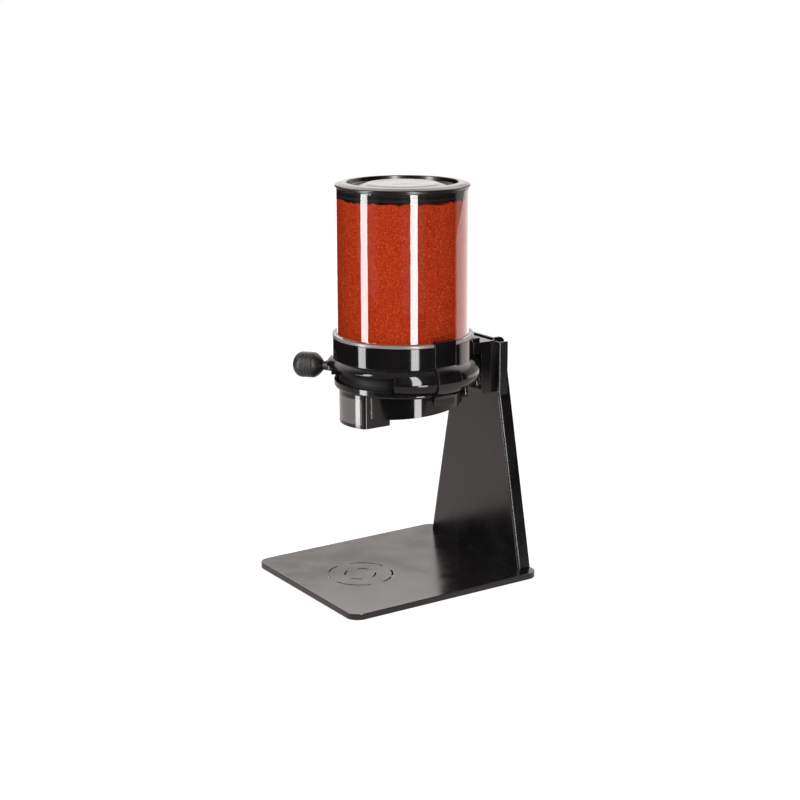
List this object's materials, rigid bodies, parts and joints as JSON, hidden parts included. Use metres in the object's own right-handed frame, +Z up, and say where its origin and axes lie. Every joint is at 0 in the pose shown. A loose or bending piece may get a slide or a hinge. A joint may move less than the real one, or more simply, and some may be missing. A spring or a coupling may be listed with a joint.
{
  "type": "powder dispenser",
  "caption": "Table-top powder dispenser: clear canister over a rotary metering head with a swing lever and a front spout, on a folded sheet stand and base plate.",
  "frame": {"origin": "under the middle of the base plate, on the table, at the underside of the rubber feet", "axes": "+Z up, the spout and the marked cup place at the front towards -Y, +X to the viewer's right"},
  "size_m": [0.161, 0.188, 0.3385],
  "materials": {
    "powder_coat": "satin",
    "black_gloss": "gloss",
    "black_satin": "satin",
    "clear_plastic": "gloss",
    "powder": "matte",
    "white_plastic": "satin",
    "steel": "satin",
    "bronze": "satin",
    "rubber": "matte"
  },
  "bodies": {
    "stand": {"base_plate": "powder_coat", "rubber_feet": "rubber", "upright": "powder_coat", "base_screws": "steel", "base_nuts": "steel", "saddle": "powder_coat", "bracket_washers": "steel", "bracket_screws": "steel", "bracket_arm": "black_gloss", "arm_screws": "steel", "outlet_housing": "black_gloss", "metering_housing": "black_gloss", "housing_screws": "steel", "side_strap_left": "black_gloss", "side_strap_right": "black_gloss", "hopper_floor": "white_plastic", "floor_screws": "steel", "lower_bush": "bronze", "upper_bush": "bronze", "shaft_seal": "rubber", "canister_gasket": "rubber", "canister": "clear_plastic", "powder_fill": "powder"},
    "rotor": {"rotor": "black_satin", "rotor_shaft": "steel", "drive_pin": "steel", "shaft_circlip": "steel", "thrust_washer": "white_plastic", "stirrer": "white_plastic", "stirrer_nut": "steel", "lever_arm": "black_satin", "lever_screws": "steel", "knob_stud": "steel", "knob": "black_satin"},
    "lid": {"lid": "black_gloss", "lid_seal": "rubber"}
  },
  "joints": [
    {"name": "lever_swing", "type": "hinge", "parent": "stand", "child": "rotor", "pos_m": [0, 0.007, 0.1791], "axis": [0, 0, 1], "range_deg": [0, 90]},
    {"name": "lid_lift", "type": "slide", "parent": "stand", "child": "lid", "axis": [0, 0, 1], "range_m": [0, 0.03]}
  ]
}
